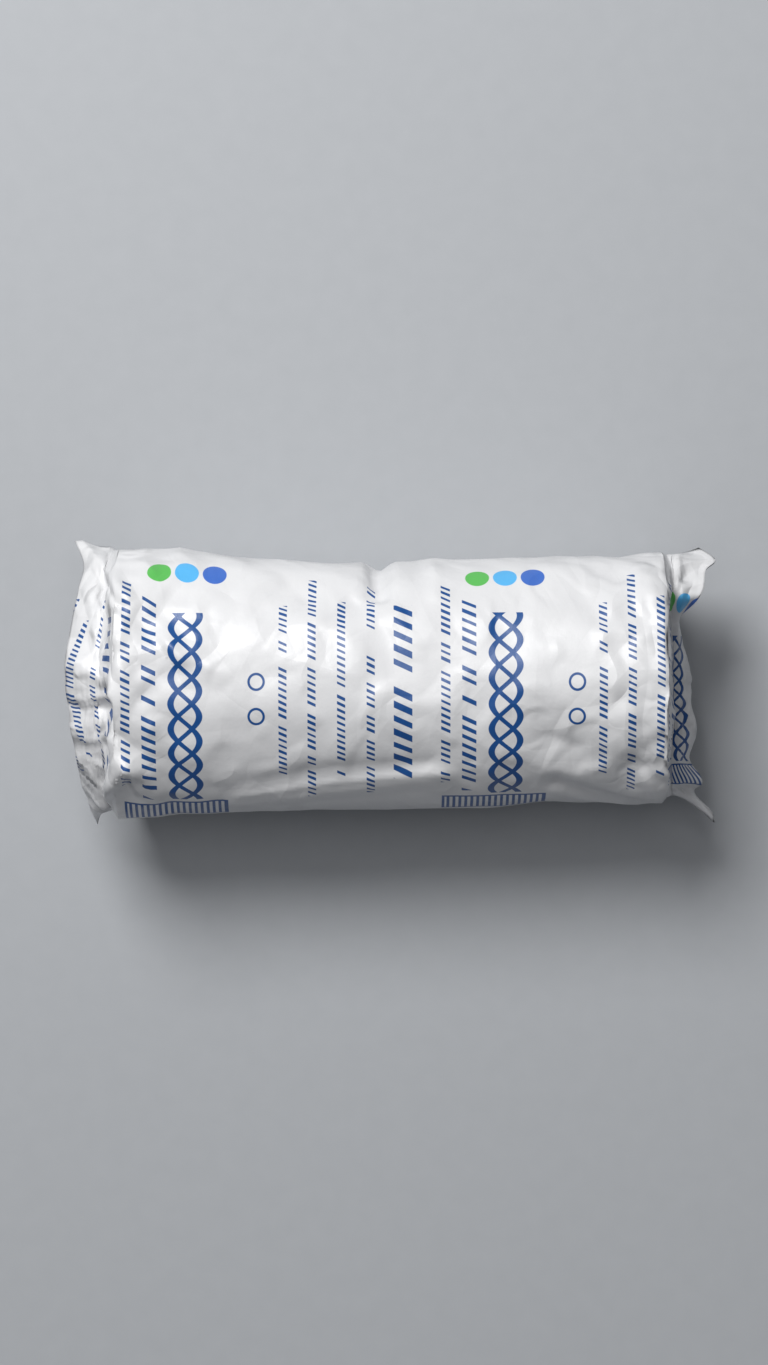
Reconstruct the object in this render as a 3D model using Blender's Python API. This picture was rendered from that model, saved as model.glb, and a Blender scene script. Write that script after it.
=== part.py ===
"""A gauze bandage: a wound roll of gauze, closed in a tube of thin film with a crimped seal at each end.

It lies on its side. The roll's axis runs along X, the far side of the wrapper is at +Y, and the folded back
seam of the film is underneath, on the surface that the bandage rests on.
"""

import math
from collections import namedtuple

import bmesh
import bpy
import numpy as np

# The wound gauze roll
ROLL_LENGTH = 0.100
ROLL_DIAMETER = 0.041
EYE_DIAMETER = 0.004
ROLL_SAG = 0.0012
ROLL_EDGE_ROUND = 0.0012
END_HOLLOW = 0.0005
END_HOLLOW_SHARE = 0.55
FREE_END_STEP = 0.0004

# The film, its two end seals and its back seam
FILM_THICKNESS = 0.001
FILM_SLACK = 0.003
ROLL_CLEARANCE = 0.0003
PLY_GAP = 0.0003
PRESSED_PLY_THICKNESS = 0.0006
SEAL_STANDOFF = 0.003
SEAL_WIDTH = 0.008
SEAL_BEND = 0.0022
RIM_DRAPE = 0.005
ROOT_DRAPE = 0.003
SEAL_RIBS = 4
SEAL_RIB_HEIGHT = 0.0004
BACK_SEAM_WIDTH = 0.010
BACK_SEAM_RELIEF = 0.0006

# The side folds of the wrapper lie this many degrees below the roll's axis
EAR_ANGLE = 11.0

# How far the slit of a seal reaches towards each ear, as a share of the ear's last panel
SLIT_REACH = 0.3

# How finely the curved surfaces are divided
SIDE_PANELS = 8
SEAM_PANELS = 4
SEAM_STEP_ANGLE = 1.6
BODY_STEP = 0.0048
END_STEPS = 8
ROLL_PANELS = 40
FREE_END_SHARE = 0.25
SQUARE_STEP = 0.02

# How far the film stands off the roll, in shares of FILM_SLACK
# along: share of half the film's length round the roll from its middle, minus to the left
SECTION_COLUMNS = ("name", "along", "far", "top", "near", "under")
SECTIONS = (
    ("left rim", -1.00, 1.00, 0.45, 1.20, 0.30),
    ("left bulge", -0.76, 1.20, 0.40, 0.87, 0.05),
    ("left slope", -0.56, 0.93, 0.35, 0.63, 0.00),
    ("left of waist", -0.20, 0.52, 0.45, 0.40, 0.00),
    ("waist", -0.05, 0.50, 0.40, 0.37, 0.00),
    ("right of waist", 0.15, 0.63, 0.35, 0.37, 0.00),
    ("right middle", 0.35, 0.73, 0.40, 0.30, 0.00),
    ("right slope", 0.57, 0.77, 0.50, 0.10, 0.00),
    ("right shoulder", 0.88, 0.80, 0.45, 0.27, 0.05),
    ("right rim", 1.00, 0.82, 0.35, 0.40, 0.30),
)

# The run of each end seal from its far ear, at share 1, to its near ear, at share -1
# across, rise: where the seal's root stands, in shares of the roll's radius from its axis
# root: how far the root stands off the roll's end, in shares of SEAL_STANDOFF
# out, aside, lift: from the root to the seal's edge, in shares of SEAL_WIDTH
SEAL_COLUMNS = ("name", "share", "across", "rise", "root", "out", "aside", "lift")
LEFT_SEAL = (
    ("far ear tip", 1.00, 1.18, -0.20, 1.00, 0.76, 0.22, -0.30),
    ("far ear", 0.84, 1.06, 0.02, 1.20, 0.52, 0.18, -0.36),
    ("far dip", 0.60, 0.80, 0.24, 1.50, 0.40, 0.06, -0.52),
    ("far middle", 0.28, 0.36, 0.44, 1.70, 0.68, 0.00, -0.40),
    ("middle", 0.00, -0.02, 0.48, 1.70, 0.76, 0.00, -0.36),
    ("near middle", -0.30, -0.42, 0.40, 1.65, 0.58, -0.02, -0.48),
    ("near ear", -0.66, -0.86, 0.12, 1.40, 0.44, -0.05, -0.54),
    ("near ear tip", -1.00, -1.16, -0.22, 1.00, 0.22, -0.20, -0.66),
)
RIGHT_SEAL = (
    ("far ear tip", 1.00, 1.17, -0.10, 1.20, 0.90, 0.02, -0.16),
    ("far ear", 0.82, 1.02, 0.00, 1.15, 0.90, 0.04, -0.04),
    ("far ear fold", 0.64, 0.81, 0.06, 1.10, 0.72, 0.00, -0.28),
    ("turned down", 0.44, 0.58, 0.12, 0.95, 0.10, -0.04, -0.82),
    ("far middle", 0.24, 0.32, 0.18, 0.95, 0.16, -0.02, -0.82),
    ("middle", 0.00, 0.00, 0.18, 1.00, 0.24, 0.00, -0.82),
    ("near middle", -0.36, -0.42, 0.12, 1.00, 0.42, -0.03, -0.74),
    ("near dip", -0.52, -0.61, 0.06, 1.00, 0.28, -0.02, -0.80),
    ("near ear", -0.76, -0.86, -0.04, 1.05, 0.56, -0.08, -0.62),
    ("near ear tip", -1.00, -1.05, -0.22, 1.20, 0.84, -0.40, -0.52),
)

# Dents and creases pressed into the film, each along a straight run
# along: as above up to the rim at 1, then down the roll's end to 2 and out along the seal to 3
# round: degrees round the roll from its far side, over the top at 90
# width: share of the roll's radius; height: share of FILM_SLACK, minus for a dent
FOLD_COLUMNS = ("name", "along", "round", "to_along", "to_round", "width", "height")
FOLDS = (
    ("waist notch", -0.05, -50, -0.04, 44, 0.14, -0.55),
    ("waist ridge", 0.16, 0, 0.17, 46, 0.16, 0.12),
    ("long near crease", -0.56, 156, 0.19, 137, 0.16, 0.20),
    ("near right crease", 0.60, 143, 0.95, 174, 0.16, -0.28),
    ("right dent", 0.58, 116, 0.68, 121, 0.30, -0.25),
    ("upper left dent", -0.40, 48, -0.26, 44, 0.30, -0.22),
    ("waist dent", -0.16, 52, -0.09, 47, 0.26, -0.22),
    ("left tuck", -0.82, 72, -0.62, 84, 0.16, 0.24),
    ("left bulge crease", -0.78, 4, -0.77, 38, 0.16, 0.18),
    ("right shoulder bump", 0.90, 34, 0.97, 40, 0.22, 0.25),
    ("far left ridge", -2.00, 6, -0.94, 50, 0.28, 0.24),
    ("far left valley", -1.90, 30, -1.10, 74, 0.26, -0.22),
    ("near left ridge", -2.00, 172, -0.94, 132, 0.26, 0.28),
    ("near left valley", -1.90, 150, -1.10, 108, 0.26, -0.22),
    ("left seal dent", -2.36, 106, -1.67, 104, 0.34, -0.14),
    ("far right ridge", 2.00, 8, 0.98, 50, 0.26, 0.30),
    ("far right valley", 1.76, 30, 1.06, 68, 0.24, -0.24),
    ("near right ridge", 1.90, 170, 0.96, 146, 0.28, 0.24),
    ("near right valley", 1.67, 150, 1.01, 126, 0.28, -0.18),
)

TOP, UNDER, TURN = 90.0, 270.0, 360.0
HALF_LENGTH = ROLL_LENGTH / 2
ROLL_RADIUS = ROLL_DIAMETER / 2
HALF_FILM = FILM_THICKNESS / 2
HALF_PRESSED_PLY = PRESSED_PLY_THICKNESS / 2
FILM_RADIUS = ROLL_RADIUS + ROLL_CLEARANCE + HALF_FILM
FILM_END = HALF_LENGTH + ROLL_CLEARANCE + HALF_FILM
FILM_FLOOR = BACK_SEAM_RELIEF + HALF_FILM
AXIS_HEIGHT = FILM_FLOOR + FILM_RADIUS - ROLL_SAG
SEAM_HALF_ANGLE = math.degrees(math.asin(BACK_SEAM_WIDTH / 2 / FILM_RADIUS))

# Flat lengths of the film from its middle: the rim, the root of the end seal and the seal's edge
SEAL_ROOT_LENGTH = FILM_END + FILM_RADIUS
SEAL_EDGE_LENGTH = SEAL_ROOT_LENGTH + SEAL_WIDTH

# A row of the film across its length: its part, body, end or seal, the side it is on, -1 or 1, and its
# place, which runs from -1 to 1 along the body, and from 0 to 1 down an end and out along a seal
Row = namedtuple("Row", "part side place")

# A line of the film along its length: its angle round the roll, its share of the way along the flat
# seal from the far ear at 1 to the near ear at -1, and its ply there, 1 on top, -1 under, 0 on an ear
Line = namedtuple("Line", "angle share ply")

Fold = namedtuple("Fold", FOLD_COLUMNS)


def clear_scene():
    for thing in list(bpy.data.objects):
        bpy.data.objects.remove(thing, do_unlink=True)


def column(table, columns, name):
    """One named column of a table, as an array."""
    place = columns.index(name)
    return np.array([row[place] for row in table], float)


def eased(table, columns, key, at, name):
    """A column read between its rows, with the key column as the distance, eased from row to row."""
    keys = column(table, columns, key)
    values = column(table, columns, name)
    if keys[0] > keys[-1]:
        keys = keys[::-1]
        values = values[::-1]
    at = min(max(at, keys[0]), keys[-1])
    row = min(int(np.searchsorted(keys, at, side="right")) - 1, len(keys) - 2)
    share = (at - keys[row]) / (keys[row + 1] - keys[row])
    ease = share * share * (3 - 2 * share)
    return values[row] + (values[row + 1] - values[row]) * ease


def film_rows():
    """Rows from the left seal's edge to the right one's, two to each rib of a seal."""
    ribs = [place / (2 * SEAL_RIBS) for place in range(2 * SEAL_RIBS, 0, -1)]
    drape = [place / END_STEPS for place in range(END_STEPS, 0, -1)]
    steps = round(2 * FILM_END / BODY_STEP)
    left = [Row("seal", -1, place) for place in ribs] + [Row("end", -1, place) for place in drape]
    right = [Row(row.part, 1, row.place) for row in reversed(left)]
    body = [Row("body", 0, 2 * place / steps - 1) for place in range(steps + 1)]
    return left + body + right


def film_lines():
    """The lines of the film from its far side fold over the top, with one on each edge of the back seam."""
    half_turn = TOP - EAR_ANGLE
    seam_edge = SEAM_HALF_ANGLE / half_turn
    seam_foot = (SEAM_HALF_ANGLE + SEAM_STEP_ANGLE) / half_turn
    far_half = list(np.linspace(1, seam_foot, SIDE_PANELS + 1))
    far_half += list(np.linspace(seam_edge, 0, SEAM_PANELS // 2 + 1))
    shares = far_half + [-share for share in reversed(far_half[:-1])]
    over = [Line(TOP - share * (TOP + EAR_ANGLE), share, 1) for share in shares[1:-1]]
    below = [Line(UNDER + share * half_turn, share, -1) for share in reversed(shares[1:-1])]
    far_ear = Line(-EAR_ANGLE, 1, 0)
    near_ear = Line(TOP + TOP + EAR_ANGLE, -1, 0)
    return [far_ear] + over + [near_ear] + below


def togetherness(rows):
    """How far the two plies have come together at each row: not at all round the roll, fully in a seal."""
    return np.array([{"body": 0.0, "end": row.place, "seal": 1.0}[row.part] for row in rows])[:, None]


def body_point(place, line):
    """The middle of the film's wall where it lies round the roll."""
    turn = math.radians(line.angle)
    sides = ("far" if math.cos(turn) > 0 else "near", "top" if math.sin(turn) > 0 else "under")
    weights = (math.cos(turn) ** 2, math.sin(turn) ** 2)
    share = sum(w * eased(SECTIONS, SECTION_COLUMNS, "along", place, s) for w, s in zip(weights, sides))
    radius = FILM_RADIUS + FILM_SLACK * share
    height = AXIS_HEIGHT + radius * math.sin(turn)
    return np.array([place * FILM_END, radius * math.cos(turn), max(height, FILM_FLOOR)])


def seal_middle(side, share, out):
    """Between the two plies of an end seal: from its root at 0 to its outer edge at 1.

    The seal leaves its root straight out along the roll's axis and bends towards its edge.
    """
    table = LEFT_SEAL if side < 0 else RIGHT_SEAL

    def read(name):
        return eased(table, SEAL_COLUMNS, "share", share, name)

    root = np.array([HALF_LENGTH + SEAL_STANDOFF * read("root"), ROLL_RADIUS * read("across"), 0.0])
    root[2] = AXIS_HEIGHT + ROLL_RADIUS * read("rise")
    bend = np.array([SEAL_BEND, 0.0, 0.0])
    reach = SEAL_WIDTH * np.array([read("out"), read("aside"), read("lift")])
    return (root + 2 * out * (1 - out) * bend + out * out * reach) * np.array([side, 1, 1])


def seal_point(side, line, out):
    """The middle of one ply of an end seal, set off square to the seal and pressed into ribs."""
    share = line.share
    beyond, before = out + SQUARE_STEP, out - SQUARE_STEP
    farther, nearer = min(share + SQUARE_STEP, 1), max(share - SQUARE_STEP, -1)
    heading = seal_middle(side, share, beyond) - seal_middle(side, share, before)
    across = seal_middle(side, farther, out) - seal_middle(side, nearer, out)
    square = np.cross(heading, across) * side
    square = square / np.linalg.norm(square)
    rib = SEAL_RIB_HEIGHT / 2 * math.cos(2 * math.pi * SEAL_RIBS * out) if 0 < out < 1 else 0.0
    apart = (PLY_GAP + PRESSED_PLY_THICKNESS) / 2 * line.ply
    return seal_middle(side, share, out) + square * (apart + rib)


def end_point(side, line, run):
    """The film between the roll's rim, at 0, and the root of the end seal, at 1: an S-shaped drape."""
    rim = body_point(side, line)
    root = seal_point(side, line, 0.0)
    leave = np.array([side * RIM_DRAPE, 0.0, 0.0])
    arrive = np.array([side * ROOT_DRAPE, 0.0, 0.0])
    square, cube = run * run, run * run * run
    return (
        (2 * cube - 3 * square + 1) * rim
        + (cube - 2 * square + run) * leave
        + (3 * square - 2 * cube) * root
        + (cube - square) * arrive
    )


def film_point(row, line):
    if row.part == "body":
        return body_point(row.place, line)
    if row.part == "end":
        return end_point(row.side, line, row.place)
    return seal_point(row.side, line, row.place)


def film_length(row):
    """How far along the flat film a row lies from its middle."""
    if row.part == "body":
        return row.place * FILM_END
    if row.part == "end":
        return row.side * (FILM_END + row.place * FILM_RADIUS)
    return row.side * (SEAL_ROOT_LENGTH + row.place * SEAL_WIDTH)


def fold_spot(along, angle):
    """A place of the folds table on the flat film."""
    lengths = (0.0, FILM_END, SEAL_ROOT_LENGTH, SEAL_EDGE_LENGTH)
    length = math.copysign(np.interp(abs(along), (0, 1, 2, 3), lengths), along)
    return np.array([length, math.radians(angle) * FILM_RADIUS])


def fold_height(length, angle):
    """How far all folds together lift the film at a place on it."""
    if angle > UNDER:
        angle -= TURN
    here = np.array([length, math.radians(angle) * FILM_RADIUS])
    lift = 0.0
    for row in FOLDS:
        fold = Fold(*row)
        first = fold_spot(fold.along, fold.round)
        run = fold_spot(fold.to_along, fold.to_round) - first
        share = float(np.clip(np.dot(here - first, run) / np.dot(run, run), 0, 1))
        gap = np.linalg.norm(here - first - share * run) / (fold.width * ROLL_RADIUS)
        lift += FILM_SLACK * fold.height * max(0.0, 1 - gap)
    return lift


def grid_normals(grid):
    """Unit normals of a closed grid of points, rows along X, pointing out of the film tube."""
    along = np.gradient(grid, axis=0)
    round_it = np.roll(grid, -1, axis=1) - np.roll(grid, 1, axis=1)
    normals = np.cross(round_it, along)
    return normals / np.linalg.norm(normals, axis=2, keepdims=True)


def rest_on_roll(grid):
    """The film lies on the roll where a dent would reach through it."""
    axis = np.array([0.0, AXIS_HEIGHT])
    radial = grid[:, :, 1:] - axis
    radius = np.linalg.norm(radial, axis=2, keepdims=True)
    beside = np.abs(grid[:, :, :1]) <= FILM_END
    held = np.where(beside, np.maximum(radius, FILM_RADIUS), radius)
    grid[:, :, 1:] = axis + radial * held / radius
    grid[:, :, 2] = np.maximum(grid[:, :, 2], FILM_FLOOR)
    return grid


def film_middle(rows, lines):
    """The middle surface of the film with its folds, and its normals.

    Where the plies have come together a fold moves both of them the same way.
    """
    grid = np.array([[film_point(row, line) for line in lines] for row in rows])
    folds = np.array([[fold_height(film_length(row), line.angle) for line in lines] for row in rows])
    other_ply = np.roll(folds[:, ::-1], 1, axis=1)
    folds = folds - togetherness(rows) ** 2 * other_ply
    grid = grid + grid_normals(grid) * folds[:, :, None]
    grid = rest_on_roll(grid)
    return grid, grid_normals(grid)


def seam_relief(rows, lines):
    """The extra thickness of the folded back seam, fading out where it runs into the end seals."""
    edge = SEAM_HALF_ANGLE + SEAM_STEP_ANGLE / 2
    on_seam = np.array([abs(line.angle - UNDER) < edge for line in lines])
    return BACK_SEAM_RELIEF * (1 - togetherness(rows)) * on_seam


def fuse_ears(inner, middle, rows, lines):
    """The slit between the plies stops short of each ear, where the folded film is fused shut."""
    for ear, line in enumerate(lines):
        if line.ply == 0:
            before, after = ear - 1, ear + 1
            slit = (inner[:, before] + inner[:, after]) / 2
            crease = (middle[:, before] + middle[:, after]) / 2
            short = slit + SLIT_REACH * (middle[:, ear] - crease)
            inner[:, ear] += togetherness(rows) * (short - inner[:, ear])
    return inner


def film_wrapper():
    """The film as one hollow skin, its underside flat where it lies on the back seam."""
    rows = film_rows()
    lines = film_lines()
    middle, normals = film_middle(rows, lines)
    half = HALF_FILM + (HALF_PRESSED_PLY - HALF_FILM) * togetherness(rows)
    half = np.repeat(half, len(lines), axis=1)
    outward = half + seam_relief(rows, lines)
    outer = middle + normals * outward[:, :, None]
    inner = middle - normals * half[:, :, None]
    inner = fuse_ears(inner, middle, rows, lines)
    beside_roll = np.array([row.part == "body" for row in rows])
    flat = np.isclose(middle[:, :, 2], FILM_FLOOR, rtol=0, atol=1e-9) & beside_roll[:, None]
    down = np.array([0.0, 0.0, -1.0])
    outer[flat] = middle[flat] + down * outward[flat][:, None]
    inner[flat] = middle[flat] - down * half[flat][:, None]
    return closed_skin("film_wrapper", list(outer) + list(inner[::-1]))


def closed_skin(name, rings):
    """A closed mesh that joins each ring of points to the next, and the last ring to the first."""
    shape = bmesh.new()
    made = [[shape.verts.new(point) for point in ring] for ring in rings]
    for ring, after in zip(made, made[1:] + made[:1]):
        for place in range(len(ring)):
            beside = (place + 1) % len(ring)
            shape.faces.new((ring[place], ring[beside], after[beside], after[place]))
    bmesh.ops.triangulate(shape, faces=shape.faces)
    bmesh.ops.recalc_face_normals(shape, faces=shape.faces)
    mesh = bpy.data.meshes.new(name)
    shape.to_mesh(mesh)
    shape.free()
    thing = bpy.data.objects.new(name, mesh)
    bpy.context.scene.collection.objects.link(thing)
    return thing


def roll_ring(x, share, inset):
    """One ring of the wound roll, a spiral of one turn with the step of the free end underneath.

    The share runs from the eye at 0 to the outside at 1, and the roll sags flat where it rests.
    """
    eye = EYE_DIAMETER / 2
    ring = []
    for panel in range(ROLL_PANELS + 1):
        turn = panel / ROLL_PANELS
        outside = ROLL_RADIUS - FREE_END_STEP * turn - inset
        radius = eye + share * (outside - eye)
        angle = math.radians(UNDER) + 2 * math.pi * turn * (1 - FREE_END_SHARE / ROLL_PANELS)
        height = max(radius * math.sin(angle), ROLL_SAG - ROLL_RADIUS)
        ring.append((x, radius * math.cos(angle), AXIS_HEIGHT + height))
    return ring


def gauze_roll():
    """The wound roll: a profile from the eye out over one end, along the roll and back to the eye."""
    corner = ROLL_EDGE_ROUND * (1 - math.sqrt(0.5))
    right = (
        (HALF_LENGTH - END_HOLLOW, 0.0, 0.0),
        (HALF_LENGTH, END_HOLLOW_SHARE, 0.0),
        (HALF_LENGTH, 1.0, ROLL_EDGE_ROUND),
        (HALF_LENGTH - corner, 1.0, corner),
        (HALF_LENGTH - ROLL_EDGE_ROUND, 1.0, 0.0),
    )
    rings = [roll_ring(-x, share, inset) for x, share, inset in right]
    rings += [roll_ring(x, share, inset) for x, share, inset in reversed(right)]
    return closed_skin("gauze_roll", rings)


def finish(thing, name, colour, roughness, smooth_angle):
    """One plain finish, and smooth shading up to the given angle."""
    material = bpy.data.materials.new(name)
    material.use_nodes = True
    shader = material.node_tree.nodes["Principled BSDF"]
    shader.inputs["Base Color"].default_value = (*colour, 1.0)
    shader.inputs["Roughness"].default_value = roughness
    shader.inputs["Metallic"].default_value = 0.0
    thing.data.materials.append(material)
    thing.data.shade_smooth()
    thing.data.set_sharp_from_angle(angle=math.radians(smooth_angle))


def centre_on_origin(things):
    """The middle of the whole bandage's footprint goes to the origin."""
    corners = np.array([thing.matrix_world @ vertex.co for thing in things for vertex in thing.data.vertices])
    middle = (corners.min(axis=0) + corners.max(axis=0)) / 2
    for thing in things:
        thing.location.x -= middle[0]
        thing.location.y -= middle[1]


clear_scene()
roll = gauze_roll()
wrapper = film_wrapper()
finish(roll, "cotton gauze", (0.86, 0.85, 0.80), 0.95, 40)
finish(wrapper, "white printed film", (0.83, 0.84, 0.86), 0.28, 32)
centre_on_origin((roll, wrapper))
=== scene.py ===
# %% [markdown]
# # A wrapped gauze bandage
# The object is one roll of cotton gauze in its closed film pack. Everything is in metres, in the frame of
# the solid model, which is loaded first. Its box is kept, so that the finished bandage can be compared with
# it.

import math

import bmesh
import bpy
import numpy as np
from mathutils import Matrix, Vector


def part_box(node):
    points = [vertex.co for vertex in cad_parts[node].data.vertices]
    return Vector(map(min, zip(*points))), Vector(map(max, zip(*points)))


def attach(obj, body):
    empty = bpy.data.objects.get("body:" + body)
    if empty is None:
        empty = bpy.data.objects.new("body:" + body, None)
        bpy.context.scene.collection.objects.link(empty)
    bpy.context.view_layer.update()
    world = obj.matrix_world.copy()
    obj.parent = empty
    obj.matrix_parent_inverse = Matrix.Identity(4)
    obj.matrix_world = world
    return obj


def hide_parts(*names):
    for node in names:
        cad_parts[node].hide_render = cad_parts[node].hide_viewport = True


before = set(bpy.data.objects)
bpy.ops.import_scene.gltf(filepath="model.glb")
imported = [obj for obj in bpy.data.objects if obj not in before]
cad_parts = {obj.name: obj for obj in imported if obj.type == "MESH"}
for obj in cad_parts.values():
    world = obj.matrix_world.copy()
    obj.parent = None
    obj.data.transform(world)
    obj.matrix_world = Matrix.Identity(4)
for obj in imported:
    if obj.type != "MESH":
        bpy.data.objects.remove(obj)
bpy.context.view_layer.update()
roll_low, roll_high = (np.array(corner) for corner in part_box("gauze_roll"))

# %% [markdown]
# # Sizes
# The film follows the same sizes and tables as the solid wrapper, so it has the same outline, only finer.
# Real film is 0.05 mm thick. It is drawn a little thicker, so that its edge still shows at the seals.

# %% Sizes of the roll and the film
ROLL_LENGTH = 0.100
ROLL_RADIUS = 0.0205
EYE_RADIUS = 0.002
ROLL_SAG = 0.0012
FILM_SLACK = 0.003
FILM_SKIN = 0.00012
WALL = 0.001
ROLL_CLEARANCE = 0.0003
PLY_GAP = 0.0004
SEAL_STANDOFF = 0.003
SEAL_WIDTH = 0.008
SEAL_BEND = 0.0022
EAR_ANGLE = 11.0

# Where there are two values, -1 is the left end and 1 the right. The drapes are how far the film heads
# outward at the rim and at the seal's root, the dive is how far its upper side heads down at the root, and
# the lean is by what share its run down the end is longer at the top.
RIM_DRAPE = {-1: 0.0040, 1: 0.0030}
ROOT_DRAPE = 0.003
ROOT_DIVE = {-1: 0.0005, 1: 0.0045}
LEAN = {-1: -0.56, 1: 0.28}

HALF_LENGTH = ROLL_LENGTH / 2
FILM_RADIUS = ROLL_RADIUS + ROLL_CLEARANCE + WALL
FILM_END = HALF_LENGTH + ROLL_CLEARANCE + WALL / 2
AXIS_HEIGHT = float(roll_low[2]) + ROLL_RADIUS - ROLL_SAG
FILM_FLOOR = 0.0002
SHIFT = np.array([(roll_low[0] + roll_high[0]) / 2, (roll_low[1] + roll_high[1]) / 2, 0.0])
print(f"axis {1000 * AXIS_HEIGHT:.1f} mm above the floor, shifted by {1000 * SHIFT[0]:.2f} mm along")

# %% Tables of the film's shape
# The slack round the roll as shares of FILM_SLACK, from the left rim at -1 to the right one at 1
SECTION_COLUMNS = ("along", "far", "top", "near", "under")
SECTIONS = (
    (-1.00, 1.20, 0.45, 1.15, 0.30),
    (-0.76, 1.20, 0.40, 0.87, 0.05),
    (-0.56, 0.93, 0.35, 0.63, 0.00),
    (-0.20, 0.52, 0.45, 0.40, 0.00),
    (-0.05, 0.50, 0.40, 0.37, 0.00),
    (0.15, 0.63, 0.35, 0.37, 0.00),
    (0.35, 0.73, 0.40, 0.30, 0.00),
    (0.57, 0.86, 0.50, 0.02, 0.00),
    (0.88, 0.98, 0.45, 0.08, 0.05),
    (1.00, 1.02, 0.35, 0.16, 0.30),
)
# Each seal from its near ear at -1 to its far ear at 1. Across and rise place its root, as shares of the
# roll's radius, and root is its standoff. Out, aside and lift say how far it runs on, as shares of its
# width.
SEAL_COLUMNS = ("share", "across", "rise", "root", "out", "aside", "lift")
LEFT_SEAL = (
    (-1.00, -1.16, -0.22, 1.00, 0.34, -0.36, -0.62),
    (-0.84, -1.09, 0.06, 1.10, 0.46, -0.04, -0.60),
    (-0.66, -0.93, 0.32, 1.30, 0.54, 0.12, -0.58),
    (-0.30, -0.42, 0.68, 1.40, 0.68, -0.02, -0.54),
    (0.00, -0.02, 0.82, 1.40, 0.80, 0.00, -0.48),
    (0.28, 0.36, 0.76, 1.40, 0.76, 0.00, -0.46),
    (0.60, 0.88, 0.48, 1.35, 0.56, -0.08, -0.44),
    (0.80, 1.13, 0.20, 1.20, 0.52, -0.06, -0.32),
    (1.00, 1.27, -0.14, 1.05, 0.84, 0.12, -0.18),
)
RIGHT_SEAL = (
    (-1.00, -1.03, -0.24, 1.20, 1.00, -0.66, -0.50),
    (-0.96, -0.99, -0.19, 1.15, 0.97, -0.50, -0.52),
    (-0.92, -0.96, -0.14, 1.10, 0.66, -0.26, -0.56),
    (-0.78, -0.88, -0.04, 1.05, 0.74, -0.08, -0.60),
    (-0.56, -0.66, 0.06, 1.00, 0.46, -0.02, -0.76),
    (-0.38, -0.44, 0.12, 1.05, 0.58, -0.03, -0.70),
    (-0.16, -0.18, 0.17, 1.05, 0.46, 0.00, -0.76),
    (0.10, 0.12, 0.18, 1.02, 0.42, 0.00, -0.78),
    (0.32, 0.42, 0.16, 1.00, 0.30, -0.02, -0.80),
    (0.45, 0.60, 0.15, 0.95, 0.14, -0.02, -0.70),
    (0.56, 0.78, 0.36, 1.00, 0.52, -0.08, -0.20),
    (0.66, 0.92, 0.32, 1.05, 0.68, -0.16, -0.10),
    (0.82, 1.10, 0.12, 1.05, 0.78, -0.12, -0.02),
    (0.93, 1.17, 0.00, 1.05, 1.00, -0.02, -0.04),
    (1.00, 1.20, -0.12, 1.00, 0.66, 0.16, -0.06),
)
# The main folds on the flat film: two spots, a width and a height. A spot is a place along, with 0 to 1 on
# the roll, 1 to 2 down its end and 2 to 3 on the seal, and degrees round it. The width is a share of the
# roll's radius and the height a share of the slack.
FOLDS = (
    (-0.05, -50, -0.04, 44, 0.14, -0.55),
    (0.16, 0, 0.17, 46, 0.16, 0.12),
    (-0.56, 156, 0.19, 137, 0.16, 0.20),
    (0.60, 143, 0.95, 174, 0.16, -0.28),
    (0.58, 116, 0.68, 121, 0.30, -0.25),
    (-0.40, 48, -0.26, 44, 0.30, -0.22),
    (-0.16, 52, -0.09, 47, 0.26, -0.22),
    (-0.82, 72, -0.62, 84, 0.16, 0.24),
    (-0.78, 4, -0.77, 38, 0.16, 0.18),
    (0.90, 34, 0.97, 40, 0.22, 0.25),
    (-2.00, 6, -0.94, 50, 0.28, 0.24),
    (-1.90, 30, -1.10, 74, 0.26, -0.22),
    (-2.00, 172, -0.94, 132, 0.26, 0.28),
    (-1.90, 150, -1.10, 108, 0.26, -0.22),
    (-2.36, 106, -1.67, 104, 0.34, -0.14),
    (2.00, 8, 0.98, 50, 0.26, 0.30),
    (1.76, 30, 1.06, 68, 0.24, -0.24),
    (1.90, 170, 0.96, 146, 0.28, 0.24),
    (1.67, 150, 1.01, 126, 0.28, -0.18),
)

# %% [markdown]
# # The film as rows and lines
# A flow pack starts as a flat web of film. It is closed round the roll as a tube and pressed flat at each
# end. The film keeps that order here: rows run across the web and lines run along it, so each point knows
# its place on the flat web, and the printing and the folds can follow it. The shape of each row comes from
# the tables.


# %% Read a table smoothly
def smooth_read(table, columns, key, name, at):
    """A column of a table read at each place, on a smooth curve through its rows."""
    data = np.array(table)
    keys, values = data[:, columns.index(key)], data[:, columns.index(name)]
    slopes = np.gradient(values, keys)
    at = np.clip(at, keys[0], keys[-1])
    row = np.clip(np.searchsorted(keys, at, side="right") - 1, 0, len(keys) - 2)
    gap = keys[row + 1] - keys[row]
    t = (at - keys[row]) / gap
    return (
        (2 * t**3 - 3 * t**2 + 1) * values[row]
        + (t**3 - 2 * t**2 + t) * gap * slopes[row]
        + (3 * t**2 - 2 * t**3) * values[row + 1]
        + (t**3 - t**2) * gap * slopes[row + 1]
    )


# %% Rows across the web and lines along it
SEAL_ROWS, END_ROWS, BODY_ROWS, HALF_LINES = 20, 26, 108, 112

left_rows = [("seal", -1, n / SEAL_ROWS) for n in range(SEAL_ROWS, 0, -1)]
left_rows += [("end", -1, n / END_ROWS) for n in range(END_ROWS, 0, -1)]
body_rows = [("body", 0, 2 * n / BODY_ROWS - 1) for n in range(BODY_ROWS + 1)]
rows = left_rows + body_rows + [(part, 1, place) for part, _, place in reversed(left_rows)]

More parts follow.
